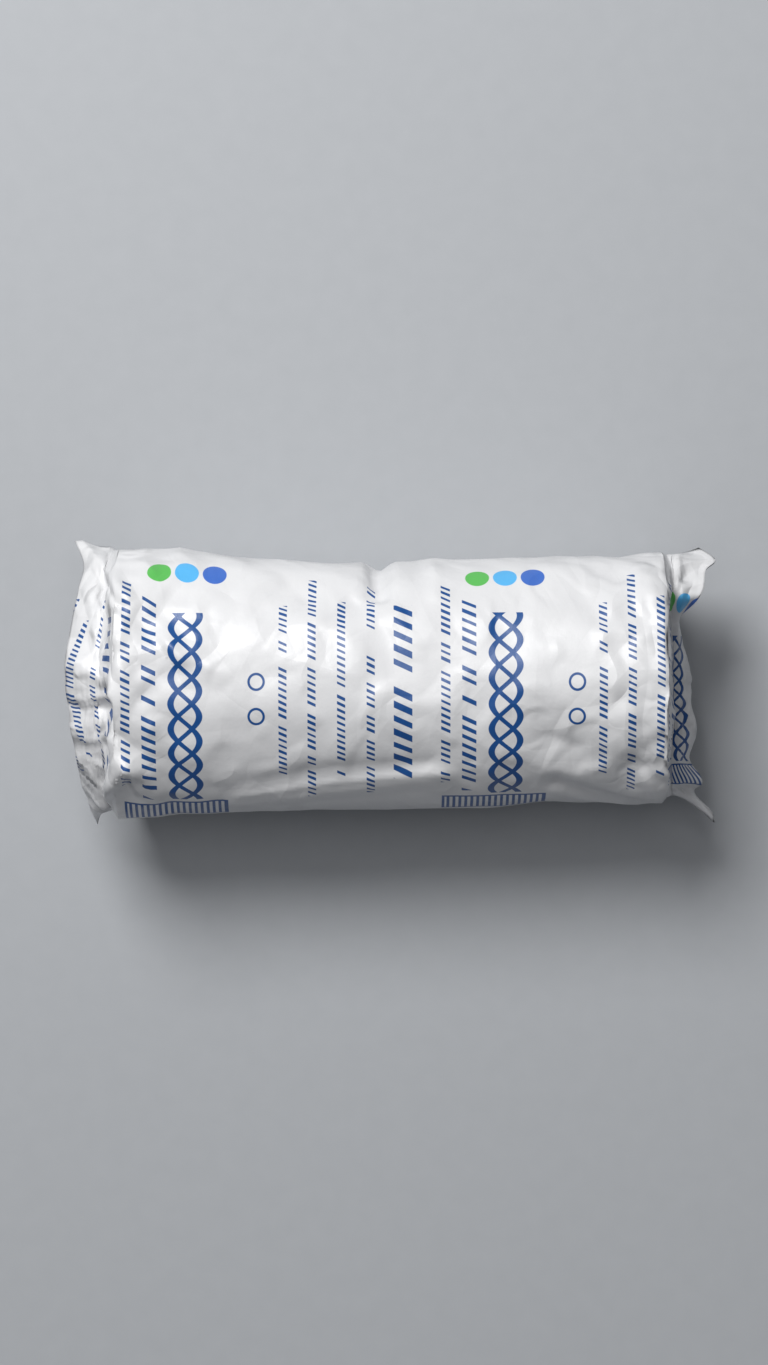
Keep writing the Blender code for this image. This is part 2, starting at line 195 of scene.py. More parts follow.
# The plies of a seal close up over this share of it, towards each ear
PLIES_CLOSE = 0.06
over = np.linspace(1, -1, HALF_LINES + 1)[:-1]
share = np.concatenate([over, -over])
upper = np.arange(2 * HALF_LINES) < HALF_LINES
angle = np.where(upper, 90 - share * (90 + EAR_ANGLE), 270 + share * (90 - EAR_ANGLE))
ply = np.sqrt(np.clip((1 - np.abs(share)) / PLIES_CLOSE, 0, 1))
ply[HALF_LINES:] *= -1
together = np.array([{"body": 0.0, "end": place, "seal": 1.0}[part] for part, _, place in rows])[:, None]


def end_run(side, degrees):
    """The film's length from the rim to the seal, short on top at the left, whose seal sits high."""
    return FILM_RADIUS * (1 + LEAN[side] * np.sin(np.radians(degrees)))


def flat_length(part, side, place):
    """How far along the flat web the points of a row lie from its middle."""
    if part == "body":
        return np.full_like(angle, place * FILM_END)
    if part == "end":
        return side * (FILM_END + place * end_run(side, angle))
    return side * (FILM_END + end_run(side, angle) + place * SEAL_WIDTH)


web_along = np.array([flat_length(*row) for row in rows])
turned = np.where(angle > 270, angle - 360, angle)
web_round = np.ones((len(rows), 1)) * np.radians(90 - turned)[None, :] * FILM_RADIUS
print("film grid:", web_along.shape, "web", 2000 * web_along.max(), "mm long")


# %% The film round the roll, down its ends and out along the seals
def body_points(place):
    turn = np.radians(angle)
    cos, sin = np.cos(turn), np.sin(turn)
    slack = {}
    for name in SECTION_COLUMNS[1:]:
        slack[name] = smooth_read(SECTIONS, SECTION_COLUMNS, "along", name, place)
    sides = np.where(cos > 0, slack["far"], slack["near"])
    tops = np.where(sin > 0, slack["top"], slack["under"])
    radius = FILM_RADIUS + FILM_SLACK * (cos**2 * sides + sin**2 * tops)
    height = np.maximum(AXIS_HEIGHT + radius * sin, FILM_FLOOR)
    return np.stack([np.full_like(cos, place * FILM_END), radius * cos, height], axis=1)


def seal_middle(side, at, out):
    """Between the plies of a seal, from its root at 0 to its edge at 1."""
    table = LEFT_SEAL if side < 0 else RIGHT_SEAL
    read = {name: smooth_read(table, SEAL_COLUMNS, "share", name, at) for name in SEAL_COLUMNS[1:]}
    x = HALF_LENGTH + SEAL_STANDOFF * read["root"] + 2 * out * (1 - out) * SEAL_BEND
    x = x + out * out * SEAL_WIDTH * read["out"]
    y = ROLL_RADIUS * read["across"] + out * out * SEAL_WIDTH * read["aside"]
    z = AXIS_HEIGHT + ROLL_RADIUS * read["rise"] + out * out * SEAL_WIDTH * read["lift"]
    return np.stack([side * x, y, z], axis=1)


def seal_points(side, out):
    """One row of a seal: each ply is set off square to the middle between them."""
    step = 0.02
    heading = seal_middle(side, share, out + step) - seal_middle(side, share, out - step)
    across = seal_middle(side, np.minimum(share + step, 1), out)
    across = across - seal_middle(side, np.maximum(share - step, -1), out)
    square = np.cross(heading, across) * side
    square /= np.linalg.norm(square, axis=1, keepdims=True)
    return seal_middle(side, share, out) + square * (PLY_GAP / 2 * ply)[:, None]


def end_points(side, run):
    """The film from the roll's rim at 0 to the root of the seal at 1, as an S-shaped drape."""
    rim, root = body_points(side), seal_points(side, 0.0)
    leave = np.array([side * RIM_DRAPE[side], 0.0, 0.0])
    between_ears = np.clip(1 - (2 * share) ** 2, 0, 1)
    dive = -ROOT_DIVE[side] * np.clip(ply, 0, 1) * between_ears
    arrive = np.stack([np.full_like(ply, side * ROOT_DRAPE), 0 * ply, dive], axis=1)
    square, cube = run**2, run**3
    return (
        (2 * cube - 3 * square + 1) * rim
        + (cube - 2 * square + run) * leave
        + (3 * square - 2 * cube) * root
        + (cube - square) * arrive
    )


def film_row(part, side, place):
    if part == "body":
        return body_points(place)
    return end_points(side, place) if part == "end" else seal_points(side, place)


def outward(grid):
    """Unit normals of the film's grid, pointing out of the pack."""
    along = np.gradient(grid, axis=0)
    round_it = np.roll(grid, -1, axis=1) - np.roll(grid, 1, axis=1)
    normals = np.cross(round_it, along)
    return normals / np.maximum(np.linalg.norm(normals, axis=2, keepdims=True), 1e-12)


film = np.array([film_row(*row) for row in rows])
print("film spans", np.round(1000 * np.ptp(film.reshape(-1, 3), axis=0), 1), "mm")

# %% [markdown]
# # Folds
# Film can't stretch, so it takes up its slack in straight folds that meet in points. Each fold is a
# straight run on the flat web that lifts or sinks the film beside it. The large ones come from the table
# above. Small ones gather where the tube is pressed flat, so they are thrown there from a fixed seed and
# lie mostly along the roll.


# %% Large and small folds on the flat web
def web_spot(along, degrees):
    root = FILM_END + end_run(-1 if along < 0 else 1, degrees)
    marks = (0.0, FILM_END, root, root + SEAL_WIDTH)
    length = math.copysign(np.interp(abs(along), (0, 1, 2, 3), marks), along)
    return np.array([length, math.radians(90 - degrees) * FILM_RADIUS])


def ridge(across, up, first, last, width, height, sharp=1.0):
    """How far one straight fold lifts each point of a plane."""
    run = last - first
    dx, dy = across - first[0], up - first[1]
    t = np.clip((dx * run[0] + dy * run[1]) / (run @ run), 0, 1)
    gap = np.hypot(dx - t * run[0], dy - t * run[1]) / width
    return height * np.clip(1 - gap, 0, 1) ** sharp


lift = np.zeros_like(web_along)
for along, start, to_along, stop, width, height in FOLDS:
    first, last = web_spot(along, start), web_spot(to_along, stop)
    lift += ridge(web_along, web_round, first, last, width * ROLL_RADIUS, FILM_SLACK * height)

# Four in five small folds lie near an end. The others lie on the roll, and are fainter and more slanted.
SMALL_FOLDS, ON_ROLL_EVERY, FAINTER = 120, 5, 0.3
NEAR_END, ON_ROLL = (0.80, 1.40), (0.0, 0.8)
HALF_RUN, FOLD_WIDTH, FOLD_HEIGHT = (0.003, 0.008), (0.0014, 0.0030), (0.00012, 0.00042)
thrown = np.random.default_rng(11)
girth = 2 * math.pi * FILM_RADIUS
small = np.zeros_like(lift)
for number in range(SMALL_FOLDS):
    near_end = number % ON_ROLL_EVERY != 0
    reach = thrown.uniform(*(NEAR_END if near_end else ON_ROLL)) * FILM_END
    middle = np.array([reach * thrown.choice((-1, 1)), thrown.uniform(-0.5, 0.5) * girth])
    lean = math.radians(thrown.normal(0, 32 if near_end else 50))
    half = thrown.uniform(*HALF_RUN) * np.array([math.cos(lean), math.sin(lean)])
    width = thrown.uniform(*FOLD_WIDTH)
    height = thrown.choice((-1, 1)) * thrown.uniform(*FOLD_HEIGHT)
    if not near_end:
        height *= FAINTER
    small += ridge(web_along, web_round, middle - half, middle + half, width, height)
print(f"{len(FOLDS)} large and {SMALL_FOLDS} small folds, up to {1000 * np.abs(lift + small).max():.2f} mm")

# %% [markdown]
# # Crumple
# Between the folds the film is made of many nearly flat facets. A few families of straight folds at
# different slants, laid over each other, give such facets. They are deepest at the gathered ends and faint
# on the roll.

# %% Facets between the folds
FACET_FAMILIES, FACET_STEEPNESS, FACET_WARP = 6, 0.030, 0.35
FACETS_ON_ROLL, MORE_AT_ENDS = 0.35, 1.25
GATHERED_FROM, GATHERED_OVER = 0.62, 0.42
facets = np.zeros_like(lift)
for family in range(FACET_FAMILIES):
    slant = math.radians(thrown.uniform(-75, 75))
    spacing = thrown.uniform(0.006, 0.017)
    wave = (web_along * math.cos(slant) + web_round * math.sin(slant)) / spacing + thrown.uniform()
    warp_round, warp_along = thrown.uniform(90, 160), thrown.uniform(60, 120)
    wave = wave + FACET_WARP * np.sin(web_round * warp_round + web_along * warp_along)
    facets += (np.abs(wave % 1 - 0.5) - 0.25) * spacing * FACET_STEEPNESS
gathered = np.clip((np.abs(web_along) / FILM_END - GATHERED_FROM) / GATHERED_OVER, 0, 1)
facets *= FACETS_ON_ROLL + MORE_AT_ENDS * gathered
print(f"{FACET_FAMILIES} families of facets, up to {1000 * np.abs(facets).max():.2f} mm")

# %% Lay the folds on the film
# Film that is laid shorter than it is flat has no room for folds, so they fade there. The fading is spread
# over many rows, because a sudden end of the folds shows as a groove. Folds are also fainter in the pressed
# seals.
FADE_ROUNDS, FULLY_OPEN = 24, 0.6
SMALL_PRESSED, FACETS_PRESSED = 0.7, 0.6
laid_length = np.linalg.norm(np.gradient(film, axis=0), axis=2)
flat_length_between = np.abs(np.gradient(web_along, axis=0))
open_film = np.clip(laid_length / flat_length_between / FULLY_OPEN, 0, 1) ** 2
for _ in range(FADE_ROUNDS):
    open_film[1:-1] = (open_film[:-2] + 2 * open_film[1:-1] + open_film[2:]) / 4
lift *= open_film
small *= open_film * (1 - SMALL_PRESSED * together)
facets *= open_film * (1 - FACETS_PRESSED * together)
# The two plies of a seal lie together, so each also takes the other's folds, the same way
other_ply = np.roll((lift + small + facets)[:, ::-1], 1, axis=1)
film = film + outward(film) * (lift + small + facets - together**2 * other_ply)[:, :, None]


# %% [markdown]
# # Creases that show from above
# Some creases are the look of this one pack: the thin ridge at its far left corner, the peak at its near
# left one, the tuck beside the left rim, and the folded shoulder at the right end. They are placed as seen
# from above, in millimetres from the middle, and pushed into the film's upper side.

# %% Creases placed from above
# Each crease has a name, a height, a width, and the points that it runs through
CREASES = (
    ("far left ridge", 0.9, 2.2, ((-58.6, 26.9), (-54.8, 23.3), (-51.0, 19.2), (-48.4, 15.8))),
    ("far left hollow", -0.8, 3.4, ((-56.0, 21.0), (-52.6, 18.0), (-50.0, 14.6))),
    ("left dent", -1.0, 3.4, ((-57.6, -5.0), (-52.0, -4.6))),
    ("left dent's upper edge", 0.5, 1.5, ((-58.8, -2.9), (-51.6, -2.4))),
    ("near left crease", 0.55, 1.6, ((-58.2, -9.3), (-55.9, -10.7), (-52.0, -9.7), (-49.0, -12.0))),
    ("near left short crease", 0.35, 0.8, ((-55.0, -14.6), (-52.5, -15.9))),
    ("near left peak, outer arm", 1.3, 3.2, ((-48.4, -15.2), (-50.4, -18.6), (-53.5, -22.9))),
    ("near left peak, inner arm", 0.9, 2.6, ((-48.4, -15.2), (-45.6, -17.3), (-43.0, -20.0))),
    ("near left hollow", -0.9, 2.8, ((-47.5, -18.2), (-51.5, -21.8))),
    ("left tuck", -0.8, 1.8, ((-42.2, 7.3), (-40.2, 4.6), (-38.4, 1.6))),
    ("left tuck's lip", 0.6, 2.4, ((-40.9, 8.0), (-38.4, 4.4))),
    ("left shoulder", 0.5, 2.6, ((-49.6, 8.0), (-49.0, 0.0), (-49.4, -8.0))),
    ("left rim dimple", -0.5, 2.2, ((-46.0, 12.5), (-44.0, 9.0))),
    ("waist notch", -0.9, 1.6, ((-3.7, 24.6), (-2.9, 21.0), (-2.4, 18.0))),
    ("right of waist", 0.3, 1.4, ((7.5, 24.2), (8.4, 19.6), (8.8, 15.8))),
    ("long near crease", 0.35, 1.3, ((-28.0, -20.5), (-11.0, -18.0), (9.7, -16.3))),
    ("long near hollow", -0.25, 2.0, ((-26.0, -18.0), (-11.0, -15.6), (8.0, -14.2))),
    ("upper left dent", -0.5, 3.6, ((-19.0, 16.6), (-14.6, 15.2))),
    ("waist dent", -0.45, 2.8, ((-7.4, 15.4), (-5.2, 14.2))),
    ("right dent", -0.5, 3.4, ((29.4, -9.8), (32.2, -11.6))),
    ("near right crease", -0.45, 1.3, ((30.5, -17.6), (40.8, -21.2), (47.5, -22.4))),
    ("near right facet", 0.45, 1.7, ((44.6, -14.8), (47.6, -17.6), (50.6, -20.6))),
    ("near right facet, second", 0.35, 1.6, ((47.0, -13.6), (51.2, -17.0))),
    ("near right hollow", -0.4, 2.0, ((46.4, -15.2), (50.4, -18.4))),
    ("right shoulder", 0.4, 1.8, ((51.4, 13.5), (52.8, 6.0), (53.0, -8.0), (51.8, -16.3))),
    ("far right crease", 0.35, 1.6, ((54.2, 24.0), (53.1, 19.5), (51.4, 13.5))),
    ("far right hollow", -0.4, 2.2, ((56.4, 22.0), (55.0, 18.0), (53.0, 14.0))),
    ("far right bump", 0.5, 2.4, ((46.0, 16.0), (48.6, 13.4))),
    ("right fin crease", 0.4, 0.9, ((55.6, 6.0), (57.4, 0.0), (56.2, -6.0))),
)

# Only film whose normal points this far up takes the creases, in full from FROM_UP + UP_OVER
FROM_UP, UP_OVER = 0.05, 0.25
CREASE_SHARPNESS = 1.4

push = np.zeros_like(film)
upright = outward(film)
faces_up = np.clip((upright[:, :, 2:] - FROM_UP) / UP_OVER, 0, 1)
for _, height, width, points in CREASES:
    spots = [np.array(point) / 1000 - SHIFT[:2] for point in points]
    pushed = np.zeros_like(lift)
    for first, last in zip(spots, spots[1:]):
        part = ridge(film[:, :, 0], film[:, :, 1], first, last, width / 1000, 1.0, CREASE_SHARPNESS)
        pushed = np.maximum(pushed, part)
    push += upright * faces_up * (pushed * height / 1000)[:, :, None]
film = film + push + together[:, :, None] ** 2 * np.roll(push[:, ::-1], 1, axis=1)
print(len(CREASES), "creases placed from above")

# %% [markdown]
# # Settling the film
# A cloth simulation lets the film find its own small buckles. The web is made slightly too large for its
# shape, so it has to buckle, while the seals and the back seam are held and the roll inside pushes back.
# Every second row and line is enough for this. The movement is capped and then added to the fine grid. The
# simulation works twenty times too large, because cloth of a few millimetres between its points is
# unsteady.

# %% Cloth simulation of the film
SCALE, FRAMES, SURPLUS, MOST_MOVE = 20.0, 16, 0.014, 0.0010
CORE_RINGS, CORE_LINES = 30, 60


def plain_mesh(name, points, faces):
    mesh = bpy.data.meshes.new(name)
    mesh.from_pydata(points, [], faces)
    thing = bpy.data.objects.new(name, mesh)
    bpy.context.scene.collection.objects.link(thing)
    return thing


def grid_faces(high, wide, start=0, flip=False):
    row, line = np.meshgrid(np.arange(high - 1), np.arange(wide), indexing="ij")
    beside = (line + 1) % wide
    corners = [row * wide + line, row * wide + beside, (row + 1) * wide + beside, (row + 1) * wide + line]
    faces = np.stack(corners, axis=2).reshape(-1, 4) + start
    return faces[:, ::-1] if flip else faces


def settled(grid, hold):
    """The grid after its film has buckled, with hold from 0, free, to 1, fixed."""
    high, wide, _ = grid.shape
    web = plain_mesh("web", (grid * SCALE).reshape(-1, 3).tolist(), grid_faces(high, wide).tolist())
    group = web.vertex_groups.new(name="hold")
    for index, weight in enumerate(hold.ravel()):
        group.add([index], float(weight), "REPLACE")
    rings = []
    for x in np.linspace(-HALF_LENGTH, HALF_LENGTH, CORE_RINGS):
        for turn in np.radians(np.arange(CORE_LINES) * 360 / CORE_LINES):
            up = max(ROLL_RADIUS * math.sin(turn), ROLL_SAG - ROLL_RADIUS)
            rings.append([x, ROLL_RADIUS * math.cos(turn), AXIS_HEIGHT + up])
    core_faces = grid_faces(CORE_RINGS, CORE_LINES).tolist()
    core = plain_mesh("core", (np.array(rings) * SCALE).tolist(), core_faces)
    core.modifiers.new("push back", "COLLISION")
    core.collision.thickness_outer = 0.01
    cloth = web.modifiers.new("film", "CLOTH")
    cloth.settings.quality = 6
    cloth.settings.mass = 0.15
    cloth.settings.air_damping = 4.0
    cloth.settings.tension_stiffness = 60.0
    cloth.settings.compression_stiffness = 60.0
    cloth.settings.shear_stiffness = 20.0
    cloth.settings.bending_stiffness = 1.2
    cloth.settings.shrink_min = -SURPLUS
    cloth.settings.vertex_group_mass = "hold"
    cloth.settings.effector_weights.gravity = 0.05
    cloth.collision_settings.distance_min = 0.005
    for number in range(1, FRAMES + 1):
        bpy.context.scene.frame_set(number)
    done = web.evaluated_get(bpy.context.evaluated_depsgraph_get()).data
    points = np.empty(3 * high * wide)
    done.vertices.foreach_get("co", points)
    for thing in (web, core):
        bpy.data.objects.remove(thing, do_unlink=True)
    bpy.context.scene.frame_set(1)
    return points.reshape(high, wide, 3) / SCALE


def between_lines(coarse, high, wide):
    """A field on every second row and line, read on all of them."""
    fine = np.zeros((high, wide, coarse.shape[2]))
    fine[::2, ::2] = coarse
    fine[1::2, ::2] = (fine[:-1:2, ::2] + fine[2::2, ::2]) / 2
    fine[:, 1::2] = (fine[:, ::2] + np.roll(fine[:, ::2], -1, axis=1)) / 2
    return fine


# The back seam is held within some degrees of the underside, and all film a little
SEAM_DEGREES, LEAST_HOLD = 14, 0.06

on_seam = np.clip(1.6 - np.abs(angle - 270) / SEAM_DEGREES, 0, 1)[None, :]
hold = np.maximum(np.maximum(together**3, on_seam), LEAST_HOLD)
start = film[::2, ::2]
moved = settled(start, hold[::2, ::2]) - start
size = np.linalg.norm(moved, axis=2, keepdims=True)
moved *= np.minimum(1, MOST_MOVE / np.maximum(size, 1e-9)) * open_film[::2, ::2, None]
film = film + between_lines(moved, *film.shape[:2])
mean, most = 1000 * size.mean(), 1000 * size.max()
print(f"film moved {mean:.2f} mm on average, at most {most:.2f} mm before the cap")

# %% [markdown]
# # Crimped seals
# The heated jaws of a pack machine press fine ribs into each seal, parallel to its edge. Both plies carry
# the same ribs, so they are pushed the same way.

# %% Ribs pressed into the seals
# They are higher at the left, strongest on the near half of a seal, and fade out just before its edge
RIBS, RIB_HEIGHT = 6, {-1: 0.00030, 0: 0.0, 1: 0.00012}
PRESSED_AT, PRESSED_REACH, EDGE_FADE = -0.35, 0.35, 12

seal_place = np.array([place if part == "seal" else 0.0 for part, _, place in rows])[:, None]
rib_height = np.array([RIB_HEIGHT[side] for _, side, _ in rows])[:, None]
pressed = np.clip(1.6 - np.abs(share - PRESSED_AT) / PRESSED_REACH, 0, 1)
pressed = pressed * np.clip((1 - seal_place) * EDGE_FADE, 0, 1)
ribs = rib_height / 2 * np.sin(2 * math.pi * RIBS * seal_place) * pressed
film = film + outward(film) * (ribs * np.sign(ply))[:, :, None]
print(f"{RIBS} ribs in each seal, up to {1000 * np.abs(ribs).max():.2f} mm")

# %% Keep the film off the roll and above the floor
axis = np.array([0.0, AXIS_HEIGHT])
radial = film[:, :, 1:] - axis
radius = np.linalg.norm(radial, axis=2, keepdims=True)
least = np.where(np.abs(film[:, :, :1]) <= HALF_LENGTH, ROLL_RADIUS + ROLL_CLEARANCE + FILM_SKIN, 0.0)
film[:, :, 1:] = axis + radial * np.maximum(radius, least) / radius
film[:, :, 2] = np.maximum(film[:, :, 2], FILM_FLOOR)
film = film + SHIFT


# %% [markdown]
# # The film as a thin skin
# The grid becomes an outer and an inner surface joined at the edges of the seals, so the film is a closed
# solid with a real edge. Its map holds the place on the flat web, in units of 100 mm.

# %% Build the skin with its map
def film_object(name, outer, skin):
    high, wide, _ = outer.shape
    inner = outer - outward(outer) * skin
    count = high * wide
    faces = [grid_faces(high, wide), grid_faces(high, wide, count, flip=True)]
    line = np.arange(wide)
    beside = (line + 1) % wide
    last = (high - 1) * wide
    faces.append(np.stack([beside, line, count + line, count + beside], axis=1))
    faces.append(np.stack([last + line, last + beside, count + last + beside, count + last + line], axis=1))
    faces = np.concatenate(faces)
    points = np.concatenate([outer.reshape(-1, 3), inner.reshape(-1, 3)])
    thing = plain_mesh(name, points.tolist(), faces.tolist())
    web = np.tile(np.stack([web_along.ravel(), web_round.ravel()], axis=1), (2, 1))[faces]
    behind = web[:, :, 1].max(axis=1, keepdims=True) - web[:, :, 1] > girth / 2
    web[:, :, 1] += girth * behind
    openness = thing.data.attributes.new("open film", "FLOAT", "POINT")
    openness.data.foreach_set("value", np.tile(open_film.ravel(), 2).astype(np.float32))
    layer = thing.data.uv_layers.new(name="web")
    layer.data.foreach_set("uv", (web * 10).astype(np.float32).ravel())
    shape = bmesh.new()
    shape.from_mesh(thing.data)
    bmesh.ops.recalc_face_normals(shape, faces=shape.faces)
    shape.to_mesh(thing.data)
    shape.free()
    thing.data.shade_smooth()
    return thing


wrapper = film_object("film_pack", film, FILM_SKIN)
print("film pack:", len(wrapper.data.polygons), "faces")

# %% [markdown]
# # The wound gauze
# Ten metres of gauze are wound on themselves in about 140 turns. The winding follows a rule, so Geometry
# Nodes make it: a spiral carries a thin flat profile, its underside is flattened where the roll rests, and
# the result is a mesh.


# %% A node tree that winds a strip
def tree_input(tree, name, value):
    socket = tree.interface.new_socket(name, in_out="INPUT", socket_type="NodeSocketFloat")
    socket.default_value = value
    return socket.identifier


def tree_node(tree, kind, inputs=None, settings=None):
    node = tree.nodes.new(kind)
    for key, value in (settings or {}).items():
        setattr(node, key, value)
    for key, value in (inputs or {}).items():
        if isinstance(value, bpy.types.NodeSocket):
            tree.links.new(value, node.inputs[key])
        else:
            node.inputs[key].default_value = value
    return node


winding = bpy.data.node_groups.new("wind a strip", "GeometryNodeTree")
sizes = {
    "Turns": 141.5,
    "Eye radius": EYE_RADIUS,
    "Roll radius": ROLL_RADIUS - 0.0001,
    "Strip width": ROLL_LENGTH,
    "Strip thickness": 0.00009,
    "Flattened from": ROLL_RADIUS - ROLL_SAG,
}
identifiers = {name: tree_input(winding, name, value) for name, value in sizes.items()}
winding.interface.new_socket("Roll", in_out="OUTPUT", socket_type="NodeSocketGeometry")
given = winding.nodes.new("NodeGroupInput").outputs
spiral = tree_node(winding, "GeometryNodeCurveSpiral", {
    "Resolution": 40, "Rotations": given["Turns"], "Start Radius": given["Eye radius"],
    "End Radius": given["Roll radius"], "Height": 0.0})
upright_curve = tree_node(
    winding, "GeometryNodeSetCurveNormal", {"Curve": spiral.outputs[0]}, {"mode": "Z_UP"})
profile = tree_node(winding, "GeometryNodeCurvePrimitiveQuadrilateral", {
    "Width": given["Strip thickness"], "Height": given["Strip width"]})
strip = tree_node(winding, "GeometryNodeCurveToMesh", {
    "Curve": upright_curve.outputs[0], "Profile Curve": profile.outputs[0], "Fill Caps": True})
turned_roll = tree_node(winding, "GeometryNodeTransform", {
    "Geometry": strip.outputs[0], "Rotation": (0.0, math.pi / 2, 0.0)})
position = tree_node(winding, "GeometryNodeInputPosition")
place = tree_node(winding, "ShaderNodeSeparateXYZ", {0: position.outputs[0]})
lowest = tree_node(
    winding, "ShaderNodeMath", {0: 0.0, 1: given["Flattened from"]}, {"operation": "SUBTRACT"})
kept = tree_node(
    winding, "ShaderNodeMath", {0: place.outputs[2], 1: lowest.outputs[0]}, {"operation": "MAXIMUM"})
flattened = tree_node(winding, "ShaderNodeCombineXYZ", {
    0: place.outputs[0], 1: place.outputs[1], 2: kept.outputs[0]})
rested = tree_node(winding, "GeometryNodeSetPosition", {
    "Geometry": turned_roll.outputs[0], "Position": flattened.outputs[0],
    "Offset": (float(SHIFT[0]), float(SHIFT[1]), AXIS_HEIGHT)})
real = tree_node(winding, "GeometryNodeRealizeInstances", {"Geometry": rested.outputs[0]})
gauze_finish = bpy.data.materials.new("cotton gauze weave")
finished = tree_node(
    winding, "GeometryNodeSetMaterial", {"Geometry": real.outputs[0], "Material": gauze_finish})
winding.links.new(finished.outputs[0], winding.nodes.new("NodeGroupOutput").inputs[0])


# %% Wind the roll and keep it as a plain mesh
def wound_roll():
    maker = plain_mesh("winder", [], [])
    modifier = maker.modifiers.new("wind", "NODES")
    modifier.node_group = winding
    for name, value in sizes.items():
        modifier[identifiers[name]] = value
    shown = maker.evaluated_get(bpy.context.evaluated_depsgraph_get())
    mesh = bpy.data.meshes.new_from_object(shown)
    bpy.data.objects.remove(maker, do_unlink=True)
    thing = bpy.data.objects.new("wound_gauze", mesh)
    bpy.context.scene.collection.objects.link(thing)
    return thing


gauze = wound_roll()
corners = np.array([vertex.co for vertex in gauze.data.vertices])
print("gauze:", len(gauze.data.polygons), "faces, spans", np.round(1000 * np.ptp(corners, axis=0), 1), "mm")

# %% [markdown]
# # Writing finishes as sums
# A finish is easier to read as arithmetic than as boxes and wires. This small class holds the output of one
# node, and adding or multiplying it adds the node that does so.


# %% Shader values that can be added and multiplied
def shader_node(tree, kind, settings=None, inputs=None, output=0):
    """Any node: its settings first, then a value or another node's output for each named socket."""
    node = tree.nodes.new(kind)
    for key, value in (settings or {}).items():
        setattr(node, key, value)
    for key, value in (inputs or {}).items():
        if isinstance(value, Field):
            tree.links.new(value.socket, node.inputs[key])
        else:
            node.inputs[key].default_value = value
    return Field(node.outputs[output])


class Field:
    """A value at every point of a surface."""

    def __init__(self, socket):
        self.socket = socket
        self.tree = socket.id_data

    def node(self, kind, settings=None, inputs=None, output=0):
        return shader_node(self.tree, kind, settings, inputs, output)

    def maths(self, operation, *values):
        return self.node("ShaderNodeMath", {"operation": operation}, dict(enumerate(values)))

    def __add__(self, other):
        return self.maths("ADD", self, other)

    def __sub__(self, other):
        return self.maths("SUBTRACT", self, other)

    def __rsub__(self, other):
        return self.maths("SUBTRACT", other, self)

    def __mul__(self, other):
        return self.maths("MULTIPLY", self, other)

    def __truediv__(self, other):
        return self.maths("DIVIDE", self, other)

    def __mod__(self, other):
        return self.maths("FLOORED_MODULO", self, other)

    def __abs__(self):
        return self.maths("ABSOLUTE", self)

    __radd__ = __add__
    __rmul__ = __mul__

    def either(self, other):
        return self.maths("MAXIMUM", self, other)

    def within(self, middle, half, soft=0.06):
        """1 where the value lies within half of the middle, with a soft edge."""
        inputs = {0: abs(self - middle), 1: half - soft, 2: half + soft, 3: 1.0, 4: 0.0}
        return self.node("ShaderNodeMapRange", {"interpolation_type": "SMOOTHSTEP"}, inputs)

    def over(self, below, colour):
        """The colour where this is 1, and the one below where it is 0."""
        return self.node("ShaderNodeMix", {"data_type": "RGBA"}, {0: self, 6: below, 7: colour}, 2)


def bare_finish(material):
    material.use_nodes = True
    tree = material.node_tree
    return tree, tree.nodes["Principled BSDF"]


def bump(height, strength, distance):
    return height.node("ShaderNodeBump", None, {"Strength": strength, "Distance": distance, "Height": height})


# %% [markdown]
# # Printed film
# The film is white and glossy with a plain blue design: rows of slanted strokes, a plaited band, three
# coloured discs, two rings and a block of bars. It repeats along the web, so each is one line of a table,
# in millimetres. Places along are counted from the start of the repeat, and places round the roll from its
# top.

# %% The printing's sizes
REPEAT, FIRST = 58.6, -48.6
DARK, BLUE = (0.008, 0.075, 0.27, 1), (0.055, 0.16, 0.56, 1)
SKY, GREEN = (0.10, 0.46, 0.84, 1), (0.11, 0.50, 0.10, 1)
# Each row of strokes: its name, place, width, where it starts and stops, its pitch and how much of it is
# filled
STROKES = (
    ("fine strokes", 0.0, 1.7, 19.0, -19.0, 1.25, 0.46),
    ("tall strokes", 4.3, 2.6, 19.0, -22.0, 1.75, 0.44),
    ("first thin row", 28.8, 1.5, 15.0, -17.5, 1.15, 0.46),
    ("second thin row", 34.1, 1.5, 21.0, -22.5, 1.15, 0.46),
    ("third thin row", 39.5, 1.5, 16.0, -18.0, 1.15, 0.46),
    ("fourth thin row", 44.9, 1.5, 20.0, -22.0, 1.15, 0.46),
    ("bold strokes", 50.8, 3.4, 14.5, -18.0, 2.5, 0.46),
)
# Each disc or ring: its name, place, height round the roll, radius, the radius of its hole, and its colour
DISCS = (
    ("green disc", 5.9, 21.0, 2.2, 0.0, GREEN),
    ("sky disc", 11.0, 21.0, 2.2, 0.0, SKY),
    ("blue disc", 16.1, 21.0, 2.2, 0.0, BLUE),
    ("upper ring", 24.0, 0.5, 1.6, 1.15, DARK),
    ("lower ring", 24.0, -5.6, 1.6, 1.15, DARK),
)
PLAIT_PLACE, PLAIT_SWING, PLAIT_PITCH, PLAIT_STRAND = 11.0, 2.6, 13.5, 0.6
PLAIT_ROUND, PLAIT_REACH = -5.0, 18.0
BLOCK_PLACE, BLOCK_ROUND = 9.0, -27.4
BLOCK_HALF, INSIDE_HALF = (9.6, 3.6), (9.1, 3.1)
BAR_PITCH, BAR_HALF = 1.1, 0.27
SLANT = 0.45
DRAWN_SHARE = 0.88
print(len(STROKES), "rows of strokes and", len(DISCS), "discs and rings, repeated every", REPEAT, "mm")

# %% The fine crinkles' sizes
# Families of shallow creases: the slant in degrees, the spacing in millimetres and the steepness
CRINKLES = (
    (12, 9.0, 0.22),
    (-38, 7.0, 0.18),
    (64, 11.0, 0.20),
    (-80, 6.0, 0.12),
    (33, 5.0, 0.12),
    (-15, 13.0, 0.22),
)
